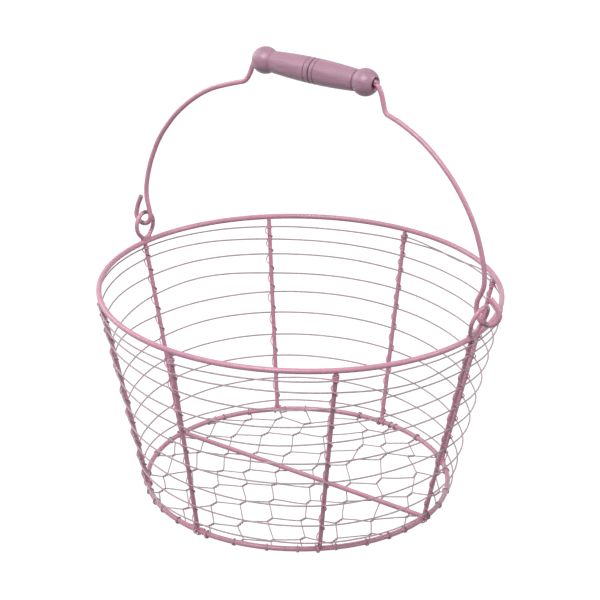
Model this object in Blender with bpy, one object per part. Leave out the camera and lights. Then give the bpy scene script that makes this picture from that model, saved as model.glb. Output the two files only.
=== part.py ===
"""Onion basket of painted steel wire, with a swinging bail and a turned wooden grip.

Metres, +Z up. X runs from ear to ear, and -Y is the side that faces the viewer.
The origin is on the surface that the basket stands on, under the middle of its bounding box.
The bail's right hook reaches further than its left one, so the rings' axis is to the left of it.
"""

from math import asin, atan2, ceil, cos, floor, hypot, pi, radians, sin, sqrt

import bpy
import numpy as np
from mathutils import Matrix, Vector

# Wire diameters
RIM_WIRE = 0.0038
BASE_WIRE = 0.0036
UPRIGHT_WIRE = 0.0032
CROSS_WIRE = 0.0034
EAR_WIRE = 0.0030
BAIL_WIRE = 0.0034
HOOP_WIRE = 0.0010
BINDING_WIRE = 0.0009
NET_WIRE = 0.0009

# Basket: diameters and height between wire centres; the rim is a little wider from ear to ear
RIM_DIAMETER = 0.280
RIM_OVAL_SHARE = 0.008
BASE_DIAMETER = 0.2172
RIM_HEIGHT = 0.1474
GAP = 0.0003
UPRIGHTS = 8
# How far each upright strays round the rim and the base ring, as shares of their spacing
HEAD_STRAY_SHARES = (0.0, 0.018, 0.035, 0.019, 0.0, -0.035, -0.036, 0.013)
FOOT_STRAY_SHARES = (0.0, 0.085, 0.0, -0.013, 0.0, -0.030, -0.070, -0.024)
# Drops of the hoops below the rim at even places round it from +X, as shares of its height over
# the base ring: they were pulled and bound by hand
HOOP_DROP_SHARES = (
    (0.031, 0.039, 0.051, 0.059, 0.064, 0.065, 0.056, 0.044,
     0.036, 0.038, 0.049, 0.059, 0.057, 0.049, 0.048, 0.034),
    (0.087, 0.110, 0.139, 0.149, 0.143, 0.132, 0.120, 0.098,
     0.090, 0.094, 0.103, 0.109, 0.113, 0.104, 0.110, 0.122),
    (0.163, 0.196, 0.228, 0.233, 0.221, 0.207, 0.196, 0.182,
     0.181, 0.178, 0.183, 0.188, 0.203, 0.208, 0.194, 0.160),
    (0.259, 0.285, 0.319, 0.328, 0.315, 0.304, 0.294, 0.271,
     0.280, 0.298, 0.303, 0.306, 0.312, 0.304, 0.286, 0.267),
    (0.370, 0.403, 0.431, 0.425, 0.412, 0.398, 0.391, 0.390,
     0.383, 0.365, 0.369, 0.383, 0.399, 0.405, 0.384, 0.366),
    (0.484, 0.513, 0.542, 0.537, 0.519, 0.506, 0.497, 0.492,
     0.498, 0.507, 0.507, 0.502, 0.505, 0.501, 0.496, 0.483),
    (0.599, 0.625, 0.645, 0.640, 0.628, 0.618, 0.612, 0.610,
     0.613, 0.621, 0.619, 0.614, 0.614, 0.612, 0.607, 0.595),
    (0.729, 0.754, 0.773, 0.764, 0.745, 0.731, 0.722, 0.720,
     0.724, 0.730, 0.728, 0.723, 0.727, 0.735, 0.739, 0.730),
    (0.852, 0.862, 0.873, 0.870, 0.856, 0.844, 0.840, 0.844,
     0.851, 0.857, 0.852, 0.845, 0.844, 0.850, 0.856, 0.853),
    (0.959, 0.958, 0.957, 0.964, 0.961, 0.961, 0.959, 0.966,
     0.954, 0.936, 0.939, 0.942, 0.943, 0.948, 0.959, 0.960),
)
RIM_STEPS = 56
BASE_STEPS = 48
HOOP_STEPS = 48

# Binding wires: one turn from hoop to hoop, steeper where it crosses one, and a knot at the foot
TURN_STEPS = 8
TURN_SHARES = (0.0, 0.07, 0.19, 0.34, 0.5, 0.66, 0.81, 0.93)
STEEPER_SHARE = 0.08
BULGE_SHARE = 0.1
HEAD_SHARES = TURN_SHARES[2:]
KNOT_TURNS = 1.125
KNOT_REST_TURNS = 0.625

# Hexagonal netting of the base
NET_ACROSS = 0.0289
NET_ALONG = 0.01775
NET_SKEW = 0.00445
NET_TWIST = 0.0082
NET_SHIFT_X = -0.0182
NET_SHIFT_Y = -0.0733
NET_EDGE_ROOM = 0.0030
NET_EDGE_STUB = 0.0020
TWIST_WIDTH_SHARE = 1.7
TIE_SPACING = 0.019
KNOT_ROOM = 0.0075

# Ears on the rim, seen along X: a large arc over a smaller one
EAR_WIDTH = 0.0184
EAR_FOOT_WIDTH = 0.0130
RIGHT_EAR_HEIGHT = 0.0217
LEFT_EAR_HEIGHT = 0.0190
# How far each ear stands from its upright along the rim, and leans out
RIGHT_EAR_SHIFT = -0.0006
LEFT_EAR_SHIFT = 0.0013
RIGHT_EAR_LEAN = 19.0
LEFT_EAR_LEAN = 3.5
EAR_STEPS = 24

# Bail, bent by hand: heights are above its hinge axis, and overhangs are past the rim's wire centre
HINGE_OVER_RIM = 0.0135
HINGE_SHIFT = 0.0020
FRAME_SHIFT = 0.0040
BAIL_LEAN = 3.6
BAIL_OVERHANG = 0.0040
BAIL_HEIGHT = 0.1434
GRIP_SHIFT = 0.0020
# Each hook: its inner limb's overhang, width, depth below the hinge axis, tip's height over it
# and how far the tip turns back in
LEFT_HOOK = (-0.0026, 0.0134, 0.0, 0.0191, 0.0036)
RIGHT_HOOK = (0.0018, 0.0180, 0.0027, 0.0154, 0.0069)
# The sides of the bail from hook to step: shares of the half span and of the height
LEFT_SIDE_SHARES = (
    (0.961, 0.074),
    (0.980, 0.134),
    (0.986, 0.185),
    (0.982, 0.239),
    (0.967, 0.316),
    (0.943, 0.392),
    (0.912, 0.465),
    (0.864, 0.543),
    (0.793, 0.632),
    (0.695, 0.720),
    (0.593, 0.785),
    (0.477, 0.832),
)
RIGHT_SIDE_SHARES = (
    (0.986, 0.082),
    (0.997, 0.109),
    (1.010, 0.143),
    (1.015, 0.176),
    (1.012, 0.218),
    (1.003, 0.263),
    (0.986, 0.318),
    (0.958, 0.393),
    (0.923, 0.463),
    (0.873, 0.540),
    (0.804, 0.624),
    (0.710, 0.711),
    (0.617, 0.777),
    (0.509, 0.830),
)
# The step up into the grip: shares of its run past the grip's end and of its drop
STEP_DROP = 0.0213
STEP_RUN = 0.0120
LEFT_STEP_SHARES = (
    (1.07, 0.00),
    (0.79, 0.06),
    (0.56, 0.18),
    (0.36, 0.40),
    (0.22, 0.64),
    (0.04, 0.86),
    (-0.20, 0.95),
    (-0.60, 1.00),
)
RIGHT_STEP_SHARES = (
    (1.07, 0.00),
    (0.82, 0.06),
    (0.68, 0.18),
    (0.56, 0.40),
    (0.40, 0.66),
    (0.18, 0.85),
    (-0.12, 0.94),
    (-0.60, 1.00),
)

# Grip, turned about its own axis
GRIP_LENGTH = 0.0992
BALL_DIAMETER = 0.0190
BODY_DIAMETER = 0.0180
NECK_DIAMETER = 0.0148
BORE_DIAMETER = 0.0080
MOUTH_DIAMETER = 0.0095
MOUTH_DEPTH = 0.0030
GROOVE_DEPTH = 0.00045
GROOVE_WIDTH = 0.0008
GROOVE_SPACING = 0.0038
MIDDLE_GROOVE_DEPTH = 0.0008
MIDDLE_GROOVE_WIDTH = 0.0012
GRIP_STEPS = 20

# Sizes that follow from those above
RIM_RADIUS = RIM_DIAMETER / 2
BAIL_HALF_SPAN = RIM_RADIUS + BAIL_OVERHANG
BASE_RADIUS = BASE_DIAMETER / 2
BASE_LEVEL = BASE_WIRE / 2 + GAP + NET_WIRE
RIM_LEVEL = BASE_LEVEL + RIM_HEIGHT
UPRIGHT_SLOPE = (RIM_RADIUS - BASE_RADIUS) / RIM_HEIGHT
LEAN_COSINE = 1 / hypot(1, UPRIGHT_SLOPE + RIM_OVAL_SHARE)
HALF_STEP_COSINE = cos(pi / TURN_STEPS)
WRAP_RADIUS = (BASE_WIRE / 2 + GAP + NET_WIRE / 2) / HALF_STEP_COSINE
WRAP_START = pi + pi / TURN_STEPS
NET_RADIUS = BASE_RADIUS + WRAP_RADIUS * cos(WRAP_START)
NET_LEVEL = BASE_LEVEL + WRAP_RADIUS * sin(WRAP_START)
CROSS_LEVEL = NET_LEVEL + NET_WIRE / 2 + GAP + CROSS_WIRE / 2
HINGE_LEVEL = RIM_LEVEL + HINGE_OVER_RIM
EAR_SEAT = RIM_RADIUS * (1 + RIM_OVAL_SHARE)
BORE_OFFSET = BORE_DIAMETER / 2 - BAIL_WIRE / 2 - GAP


def clear_scene():
    """Removes what a new file holds."""
    for obj in list(bpy.data.objects):
        bpy.data.objects.remove(obj, do_unlink=True)


def paint(name, red, green, blue, roughness):
    """A paint coat with this sRGB colour."""
    material = bpy.data.materials.new(name)
    material.use_nodes = True
    shader = material.node_tree.nodes["Principled BSDF"]
    linear = [((c + 0.055) / 1.055) ** 2.4 for c in (red, green, blue)]
    shader.inputs["Base Color"].default_value = (*linear, 1)
    shader.inputs["Roughness"].default_value = roughness
    shader.inputs["Metallic"].default_value = 0.0
    return material


def make_root():
    """The empty that holds everything, on the rings' axis."""
    root = bpy.data.objects.new("rings_axis", None)
    bpy.context.scene.collection.objects.link(root)
    root.location.x = -FRAME_SHIFT
    return root


def wire(name, points, diameter, level, closed=False, parent=None):
    """A bent wire along these points: level 0 has 4 sides, 1 has 6 and 2 has 8."""
    curve = bpy.data.curves.new(name, "CURVE")
    curve.dimensions = "3D"
    curve.bevel_depth = diameter / 2
    curve.bevel_resolution = level
    curve.use_fill_caps = not closed
    spline = curve.splines.new("POLY")
    spline.points.add(len(points) - 1)
    for place, point in zip(spline.points, points):
        place.co = (*point, 1)
    spline.use_cyclic_u = closed
    obj = bpy.data.objects.new(name, curve)
    bpy.context.scene.collection.objects.link(obj)
    obj.data.materials.append(paint(name + "_paint", 0.86, 0.64, 0.75, 0.42))
    obj.parent = parent or bpy.data.objects["rings_axis"]
    return obj


def polar(radius, angle, height):
    return Vector((radius * cos(angle), radius * sin(angle), height))


def between(a, b, c, d, t):
    """The place at this share of the way from b to c on a Catmull-Rom curve."""
    curve = 2 * b + (c - a) * t + (2 * a - 5 * b + 4 * c - d) * t**2
    return (curve + (3 * b - a - 3 * c + d) * t**3) / 2


def smooth_path(points, steps):
    """Points along a Catmull-Rom curve through these points, with this many steps to a stretch."""
    ends = [2 * points[0] - points[1], *points, 2 * points[-1] - points[-2]]
    path = []
    for a, b, c, d in zip(ends, ends[1:], ends[2:], ends[3:]):
        path += [between(a, b, c, d, i / steps) for i in range(steps)]
    return path + [points[-1]]


def least_gap(points, diameter):
    """The least distance between the surfaces of a tube's turns, sampled along its path."""
    samples = []
    for a, b in zip(points, points[1:]):
        count = max(2, ceil((b - a).length / (diameter / 2)))
        samples += [a.lerp(b, i / count) for i in range(count)]
    places = np.array(samples)
    along = np.cumsum([0] + [(b - a).length for a, b in zip(samples, samples[1:])])
    apart = np.linalg.norm(places[:, None] - places[None], axis=2)
    near = np.abs(along[:, None] - along[None]) < pi * diameter
    return float(np.where(near, np.inf, apart).min()) - diameter


# Rings, cross rod and uprights


def oval(radius, angle, height, drop=0.0):
    """A point round the basket, which is oval at the rim and round at the base ring."""
    share = RIM_OVAL_SHARE * (1 - drop / RIM_HEIGHT)
    return polar(radius * (1 + share * cos(2 * angle)), angle, height)


def upright_angles(number):
    """The angles of an upright's top and of its foot."""
    spacing = 2 * pi / UPRIGHTS
    top = number + HEAD_STRAY_SHARES[number % len(HEAD_STRAY_SHARES)]
    foot = number + FOOT_STRAY_SHARES[number % len(FOOT_STRAY_SHARES)]
    return top * spacing, foot * spacing


def upright_axis(number, drop):
    """The point of an upright's axis this far below the rim's wire."""
    top, foot = upright_angles(number)
    upper = oval(RIM_RADIUS, top, RIM_LEVEL)
    lower = polar(BASE_RADIUS, foot, BASE_LEVEL)
    return upper.lerp(lower, drop / RIM_HEIGHT)


def make_rings():
    angles = [2 * pi * i / RIM_STEPS for i in range(RIM_STEPS)]
    rim = [oval(RIM_RADIUS, angle, RIM_LEVEL) for angle in angles]
    wire("rim_ring", rim, RIM_WIRE, 2, closed=True)
    angles = [2 * pi * i / BASE_STEPS for i in range(BASE_STEPS)]
    base = [polar(BASE_RADIUS, angle, BASE_LEVEL) for angle in angles]
    wire("base_ring", base, BASE_WIRE, 2, closed=True)


def make_cross_rod():
    """The rod across the base, from the foot of one ear's upright to the other's, over the net."""
    reach = BASE_RADIUS - (BASE_WIRE / 2 + GAP) / cos(pi / BASE_STEPS)
    ends = [Vector((side * reach, 0, CROSS_LEVEL)) for side in (-1, 1)]
    wire("base_cross_rod", ends, CROSS_WIRE, 2)


def make_uprights():
    for number in range(UPRIGHTS):
        head = (RIM_WIRE / 2 + GAP) * LEAN_COSINE
        foot = RIM_HEIGHT - (BASE_WIRE / 2 + GAP) * LEAN_COSINE
        ends = [upright_axis(number, drop) for drop in (head, foot)]
        wire(f"upright_{number + 1}", ends, UPRIGHT_WIRE, 2)


# Hoops, outside the uprights


def hoop_drop(number, angle):
    """How far below the rim a hoop is at this angle."""
    shares = HOOP_DROP_SHARES[number]
    place = angle / (2 * pi) * len(shares)
    near = [shares[(floor(place) + i) % len(shares)] for i in (-1, 0, 1, 2)]
    return between(*near, place % 1) * RIM_HEIGHT


def hoop_point(number, angle):
    """A hoop clears the uprights' outer side, also at the middle of its own flats."""
    drop = hoop_drop(number, angle)
    upright = RIM_RADIUS - UPRIGHT_SLOPE * drop
    clear = (UPRIGHT_WIRE / 2 + GAP) / LEAN_COSINE + HOOP_WIRE / 2
    return oval((upright + clear) / cos(pi / HOOP_STEPS), angle, RIM_LEVEL - drop, drop)


def make_hoops():
    angles = [2 * pi * i / HOOP_STEPS for i in range(HOOP_STEPS)]
    for number in range(len(HOOP_DROP_SHARES)):
        points = [hoop_point(number, angle) for angle in angles]
        wire(f"hoop_{number + 1:02d}", points, HOOP_WIRE, 0, closed=True)


# Binding wires: a left-handed helix round each upright, over every hoop


def binding_drop(number, turn):
    """How far below the rim the wire is at this turn, where a whole number crosses a hoop."""
    angle = upright_angles(number)[0]
    turn += STEEPER_SHARE * sin(2 * pi * turn)
    hoop = min(max(int(turn), 0), len(HOOP_DROP_SHARES) - 2)
    upper, lower = hoop_drop(hoop, angle), hoop_drop(hoop + 1, angle)
    head = RIM_WIRE / 2 + GAP + BINDING_WIRE
    return max(head, upper + (lower - upper) * (turn - hoop))


def binding_place(share):
    """Where the wire is at this share of a turn, as (outwards, sideways) from the upright's axis."""
    widest = max(b - a for a, b in zip(TURN_SHARES, TURN_SHARES[1:]))
    close = (UPRIGHT_WIRE / 2 + GAP + BINDING_WIRE / 2) / cos(pi * widest) / LEAN_COSINE
    out, along = close * cos(2 * pi * share), close * sin(2 * pi * share)
    if min(share, 1 - share) < BULGE_SHARE:
        out = close + HOOP_WIRE + GAP
    return out, along


def binding_points(number):
    last = len(HOOP_DROP_SHARES) - 1
    turns = [share - 1 for share in HEAD_SHARES]
    turns += [whole + share for whole in range(last) for share in TURN_SHARES]
    points = []
    for turn in turns + [last]:
        axis = upright_axis(number, binding_drop(number, turn))
        out = Vector((axis.x, axis.y, 0)).normalized()
        far, along = binding_place(turn % 1)
        points.append(axis + far * out + along * Vector((-out.y, out.x, 0)))
    return points + knot_points(number, points[-1])


def knot_points(number, last):
    """Just over one turn round the base ring beside the upright's foot."""
    angle = upright_angles(number)[1]
    out, along = polar(1, angle, 0), polar(1, angle + pi / 2, 0)
    centre = polar(BASE_RADIUS, angle, BASE_LEVEL)
    beside = max(UPRIGHT_WIRE, CROSS_WIRE) / 2 + GAP + BINDING_WIRE / 2
    pitch = beside / HALF_STEP_COSINE / KNOT_REST_TURNS
    radius = (BASE_WIRE / 2 + GAP + BINDING_WIRE / 2) / HALF_STEP_COSINE
    points = [last - Vector((0, 0, HOOP_WIRE + GAP))]
    for i in range(round(KNOT_TURNS * TURN_STEPS) + 1):
        turn = i / TURN_STEPS
        around = pi / TURN_STEPS - 2 * pi * turn
        place = centre + radius * (cos(around) * out + sin(around) * Vector((0, 0, 1)))
        points.append(place + pitch * turn * along)
    return points


def make_binding_wires():
    gaps = []
    for number in range(UPRIGHTS):
        points = binding_points(number)
        wire(f"binding_wire_{number + 1}", points, BINDING_WIRE, 0)
        gaps.append(least_gap(points, BINDING_WIRE))
    print(f"binding wires: least gap to themselves {min(gaps) * 1000:.2f} mm")


# Netting: wires twisted in pairs, whose cut ends are wrapped round the base ring


def net_graph():
    """Places of the net's joints inside the base ring, and the pairs that a wire joins."""
    across = Vector((NET_ACROSS / 2, NET_ALONG - NET_SKEW))
    back = Vector((-NET_ACROSS / 2, NET_ALONG + NET_SKEW))
    shift = Vector((NET_SHIFT_X, NET_SHIFT_Y))
    half = Vector((0, NET_TWIST / 2))
    reach = ceil(2 * NET_RADIUS / min(NET_ACROSS / 2, NET_ALONG - NET_SKEW))
    places, wires = {}, []
    for i in range(-reach, reach + 1):
        for j in range(-reach, reach + 1):
            middle = shift + i * across + j * back
            places[i, j, 0] = middle - half
            places[i, j, 1] = middle + half
            wires.append(((i, j, 0), (i, j, 1)))
            wires.append(((i, j, 1), (i + 1, j, 0)))
            wires.append(((i, j, 1), (i, j + 1, 0)))
    return places, wires


def clip_net(places, wires):
    """Keeps the joints inside the ring, and ends each wire that leaves at the ring's inner side."""
    inside, kept, ends = {}, [], []
    for key, place in places.items():
        if place.length < NET_RADIUS - NET_EDGE_ROOM:
            inside[key] = place
        elif place.length < NET_RADIUS + NET_EDGE_ROOM:
            inside[key] = place.normalized() * (NET_RADIUS - NET_EDGE_STUB)
    edge = {key for key in inside if places[key].length >= NET_RADIUS - NET_EDGE_ROOM}
    for a, b in wires:
        if a in inside and b in inside:
            kept.append((a, b))
        elif a in inside or b in inside:
            key, other = (a, b) if a in inside else (b, a)
            if key not in edge and other in places:
                ends.append((key, leave_ring(inside[key], places[other])))
    joined = {key for pair in kept for key in pair}
    ends += [(key, inside[key].normalized() * NET_RADIUS) for key in sorted(edge & joined)]
    return inside, kept, ends


def leave_ring(start, stop):
    """Where a straight wire from a joint inside the net's circle crosses that circle."""
    step = stop - start
    a, b, c = step.dot(step), start.dot(step), start.dot(start) - NET_RADIUS**2
    return start + step * ((-b + sqrt(b * b - a * c)) / a)


def from_knot(angle):
    """How far round the base ring this angle is from the nearest knot's middle."""
    knots = [upright_angles(number)[1] for number in range(UPRIGHTS)]
    away = [abs((angle - knot + pi) % (2 * pi) - pi) * BASE_RADIUS for knot in knots]
    return min(away)


def wrap_sections(angle):
    """Square sections of a wire end that hooks round the base ring, flat where it is lowest."""
    out, along, up = polar(1, angle, 0), polar(1, angle + pi / 2, 0), Vector((0, 0, 1))
    centre = polar(BASE_RADIUS, angle, BASE_LEVEL)
    half = NET_WIRE / 2
    sections = []
    for i in range(TURN_STEPS):
        around = WRAP_START + 2 * pi * i / TURN_STEPS
        ray = cos(around) * out + sin(around) * up
        inner = centre + ray * (WRAP_RADIUS - half / HALF_STEP_COSINE)
        outer = centre + ray * (WRAP_RADIUS + half / HALF_STEP_COSINE)
        side = half * along
        sections.append([outer + side, inner + side, inner - side, outer - side])
    return sections


def make_netting():
    places, wires = net_graph()
    inside, kept, ends = clip_net(places, wires)
    verts, faces = [], []

    def add(point):
        verts.append(tuple(point))
        return len(verts) - 1

    # Each joint holds its wires in order round it, as (direction, half width, key of the far end)
    spokes = {}
    for a, b in kept:
        width = TWIST_WIDTH_SHARE if a[:2] == b[:2] else 1
        for key, other in ((a, b), (b, a)):
            ray = (inside[other] - inside[key]).normalized()
            spokes.setdefault(key, []).append((ray, width * NET_WIRE / 2, other))
    for i, (key, place) in enumerate(ends):
        if key in spokes:
            spokes[key].append(((place - inside[key]).normalized(), NET_WIRE / 2, i))

    # Keeps what hangs together with the joint nearest the middle
    joined = {min(spokes, key=lambda key: inside[key].length)}
    fresh = list(joined)
    while fresh:
        key = fresh.pop()
        for _, _, other in spokes[key]:
            if isinstance(other, tuple) and other not in joined:
                joined.add(other)
                fresh.append(other)

    def lift(place, rise):
        return (place.x, place.y, NET_LEVEL + rise)

    rise = NET_WIRE / 2
    section = {}
    for key in sorted(joined):
        middle = inside[key]
        order = sorted(spokes[key], key=lambda spoke: atan2(spoke[0].y, spoke[0].x))
        top, bottom = add(lift(middle, rise)), add(lift(middle, -rise))
        corners = []
        for spoke, after in zip(order, order[1:] + order[:1]):
            turn = spoke[0].x * after[0].y - spoke[0].y * after[0].x
            push = (after[1] * spoke[0] + spoke[1] * after[0]) / turn
            corners.append(add(lift(middle + push, 0)))
        for i, spoke in enumerate(order):
            section[key, spoke[2]] = (corners[i], top, corners[i - 1], bottom)

    def sleeve(first, second):
        for i in range(4):
            j = (i + 1) % 4
            faces.append((first[i], first[j], second[j], second[i]))

    for a, b in kept:
        if a in joined:
            left, top, right, bottom = section[b, a]
            sleeve(section[a, b], (right, top, left, bottom))

    wrapped = []
    for angle, i in sorted((atan2(place.y, place.x), i) for i, (_, place) in enumerate(ends)):
        key, place = ends[i]
        if key not in joined:
            continue
        spacing = [abs((angle - other + pi) % (2 * pi) - pi) * BASE_RADIUS for other in wrapped]
        clear = from_knot(angle) > KNOT_ROOM
        first = section[key, i]
        if clear and min(spacing, default=TIE_SPACING) >= TIE_SPACING:
            wrapped.append(angle)
            for section_points in wrap_sections(angle):
                second = [add(point) for point in section_points]
                sleeve(first, second)
                first = second
        else:
            if not clear:
                place = inside[key].lerp(place, 0.5)
            ray = (place - inside[key]).normalized()
            side = Vector((-ray.y, ray.x)) * rise
            marks = ((place + side, 0), (place, rise), (place - side, 0), (place, -rise))
            second = [add(lift(mark, height)) for mark, height in marks]
            sleeve(first, second)
            first = second
        faces.append(tuple(first))

    mesh = bpy.data.meshes.new("base_netting")
    mesh.from_pydata(verts, [], faces)
    mesh.validate()
    obj = bpy.data.objects.new("base_netting", mesh)
    bpy.context.scene.collection.objects.link(obj)
    mesh.materials.append(paint("base_netting_paint", 0.86, 0.64, 0.75, 0.42))
    obj.parent = bpy.data.objects["rings_axis"]
    print(f"netting: {len(wrapped)} ends tied round the base ring, {len(kept)} wires")
    return obj


# Ears: closed drop-shaped loops on the rim, over two of the uprights


def ear_outline(height):
    """The loop's wire centre, as (along the rim, above the rim's wire centre)."""
    upper, lower = EAR_WIDTH / 2, EAR_FOOT_WIDTH / 2
    seat = RIM_WIRE / 2 + GAP + EAR_WIRE / 2
    high = seat + height - upper
    low = seat + lower
    slant = asin((upper - lower) / (high - low))
    upper_steps = round(EAR_STEPS * (pi + 2 * slant) / (2 * pi))
    lower_steps = EAR_STEPS - upper_steps
    outline = []
    for i in range(upper_steps + 1):
        angle = -slant + (pi + 2 * slant) * i / upper_steps
        outline.append((upper * cos(angle), high + upper * sin(angle)))
    for i in range(lower_steps + 1):
        angle = pi + slant + (pi - 2 * slant) * i / max(1, lower_steps)
        outline.append((lower * cos(angle), low + lower * sin(angle)))
    return outline


def make_ear(name, side, height, shift, lean):
    lean = radians(lean)
    seat = Vector((side * EAR_SEAT, shift, RIM_LEVEL))
    points = []
    for along, rise in ear_outline(height):
        points.append(seat + Vector((side * rise * sin(lean), along, rise * cos(lean))))
    wire(name, points, EAR_WIRE, 1, closed=True)


def make_ears():
    make_ear("ear_right", 1, RIGHT_EAR_HEIGHT, RIGHT_EAR_SHIFT, RIGHT_EAR_LEAN)
    make_ear("ear_left", -1, LEFT_EAR_HEIGHT, LEFT_EAR_SHIFT, LEFT_EAR_LEAN)


# Bail and grip


def hook_points(overhang, width, depth, tip_height, tip_turn):
    """From the inner limb round under the ear's wire and up to the tip, outside the ear."""
    radius = width / 2
    middle = RIM_RADIUS + overhang + radius
    outer = middle + radius
    points = []
    for i in range(TURN_STEPS + 1):
        angle = pi + pi * i / TURN_STEPS
        points.append((middle + radius * cos(angle), radius + radius * sin(angle) - depth))
    points.append((outer - tip_turn / 3, (radius - depth + tip_height) / 2))
    points.append((outer - tip_turn, tip_height))
    return points


def step_points(shares, side):
    """From the shoulder up the step and into the grip's bore."""
    low = BAIL_HEIGHT - STEP_DROP
    end = GRIP_LENGTH / 2 + side * GRIP_SHIFT
    return [(end + run * STEP_RUN, low + rise * STEP_DROP) for run, rise in shares]


def bail_side(hook, limb_shares, step_shares, side):
    """One side of the bail, from its hook's tip to the straight in the grip."""
    bend = hook_points(*hook)[::-1]
    limb = [(x * BAIL_HALF_SPAN, z * BAIL_HEIGHT) for x, z in limb_shares]
    step = step_points(step_shares, side)
    bend, limb, step = ([Vector((side * x, 0, z)) for x, z in part] for part in (bend, limb, step))
    return bend[:-1] + smooth_path([bend[-1], *limb], 2)[:-1] + [limb[-1], *step]


def make_bail():
    pivot = bpy.data.objects.new("bail_pivot", None)
    bpy.context.scene.collection.objects.link(pivot)
    pivot.parent = bpy.data.objects["rings_axis"]
    pivot.location = (0, HINGE_SHIFT, HINGE_LEVEL)
    pivot.rotation_euler = (radians(-BAIL_LEAN), 0, 0)
    left = bail_side(LEFT_HOOK, LEFT_SIDE_SHARES, LEFT_STEP_SHARES, -1)
    right = bail_side(RIGHT_HOOK, RIGHT_SIDE_SHARES, RIGHT_STEP_SHARES, 1)
    wire("bail_wire", left + right[::-1], BAIL_WIRE, 2, parent=pivot)
    return pivot


def grip_half_profile():
    """(distance from the middle, radius) along the outside, from the mouth to the middle."""
    ball, neck, body = BALL_DIAMETER / 2, NECK_DIAMETER / 2, BODY_DIAMETER / 2
    mouth = MOUTH_DIAMETER / 2
    centre = GRIP_LENGTH / 2 - sqrt(ball**2 - mouth**2)
    start = asin(mouth / ball)
    stop = pi - asin((neck - GROOVE_DEPTH) / ball)
    profile = []
    steps = 8
    for i in range(steps + 1):
        angle = start + (stop - start) * i / steps
        profile.append((centre + ball * cos(angle), ball * sin(angle)))
    end = profile[-1][0] - GROOVE_WIDTH
    profile.append((end, neck))
    steps = 4
    first_groove = GROOVE_SPACING + GROOVE_WIDTH / 2
    for i in range(1, steps + 1):
        place = end + (first_groove - end) * i / steps
        share = cos(pi / 2 * place / end) ** 0.8
        profile.append((place, neck + (body - neck) * share))
    profile.append((GROOVE_SPACING, body - GROOVE_DEPTH))
    profile.append((GROOVE_SPACING - GROOVE_WIDTH / 2, body))
    profile.append((MIDDLE_GROOVE_WIDTH / 2, body))
    return profile


def make_grip(pivot):
    """The turned grip, bored through for the bail's wire."""
    half = grip_half_profile()
    middle = (0, BODY_DIAMETER / 2 - MIDDLE_GROOVE_DEPTH)
    outside = half + [middle] + [(-x, r) for x, r in reversed(half)]
    deep = GRIP_LENGTH / 2 - MOUTH_DEPTH
    bore = [(-deep, BORE_DIAMETER / 2), (deep, BORE_DIAMETER / 2)]
    loop = outside + bore
    mesh = bpy.data.meshes.new("grip")
    edges = [(i, (i + 1) % len(loop)) for i in range(len(loop))]
    mesh.from_pydata([(r, 0, x) for x, r in loop], edges, [])
    obj = bpy.data.objects.new("grip", mesh)
    bpy.context.scene.collection.objects.link(obj)
    turn = obj.modifiers.new("turning", "SCREW")
    turn.axis = "Z"
    turn.steps = GRIP_STEPS
    turn.render_steps = GRIP_STEPS
    turn.use_merge_vertices = True
    turn.merge_threshold = GAP / 30
    mesh.materials.append(paint("grip_paint", 0.75, 0.58, 0.67, 0.5))
    obj.parent = pivot
    obj.location = (GRIP_SHIFT, 0, BAIL_HEIGHT - BORE_OFFSET)
    obj.rotation_euler = (0, pi / 2, 0)
    return obj


def main():
    clear_scene()
    make_root()
    make_rings()
    make_cross_rod()
    make_uprights()
    make_hoops()
    make_binding_wires()
    make_netting()
    make_ears()
    make_grip(make_bail())


main()
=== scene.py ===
"""Onion basket: steel wire bound and painted by hand, netting in the base, a turned wooden grip.

Metres, +Z up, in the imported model's frame. X runs from ear to ear and -Y faces the viewer.
"""

from math import asin, atan2, ceil, cos, floor, hypot, pi, radians, sin, sqrt

import bpy
import numpy as np
from mathutils import Matrix, Vector


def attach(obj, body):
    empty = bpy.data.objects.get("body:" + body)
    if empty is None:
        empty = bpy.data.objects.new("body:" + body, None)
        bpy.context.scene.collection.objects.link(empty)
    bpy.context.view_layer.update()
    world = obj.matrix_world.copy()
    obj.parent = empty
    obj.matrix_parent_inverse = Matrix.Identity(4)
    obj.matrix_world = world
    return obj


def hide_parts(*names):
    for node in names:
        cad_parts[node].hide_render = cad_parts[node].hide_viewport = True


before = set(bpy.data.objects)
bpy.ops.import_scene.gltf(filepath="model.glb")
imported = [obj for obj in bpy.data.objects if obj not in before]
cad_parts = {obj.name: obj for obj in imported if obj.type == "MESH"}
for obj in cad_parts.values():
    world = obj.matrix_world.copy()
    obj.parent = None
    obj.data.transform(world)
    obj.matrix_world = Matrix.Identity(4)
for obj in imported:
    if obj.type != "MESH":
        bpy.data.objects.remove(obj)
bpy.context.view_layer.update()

# ------------------------------------------------------------
# Camera: stands in front and to the right, a little above the rim, with a long lens. Its place
# was fitted to the rim, the base ring and the uprights as they lie in the photograph. Its angles
# are in radians.
RINGS_AXIS_X = -0.0040
RIM_LEVEL = 0.1504
CAMERA_AZIMUTH = -0.62450463
CAMERA_ELEVATION = 0.40176286
CAMERA_ROLL = 0.01277922
CAMERA_DISTANCE = 1.47205715
CAMERA_DROP = 0.00987771
CAMERA_LENS = 126.0339
CAMERA_SENSOR = 36
CAMERA_FAR = 20


def placed(name, data):
    """A new object that holds this data, in the scene."""
    thing = bpy.data.objects.new(name, data)
    bpy.context.scene.collection.objects.link(thing)
    return thing


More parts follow.
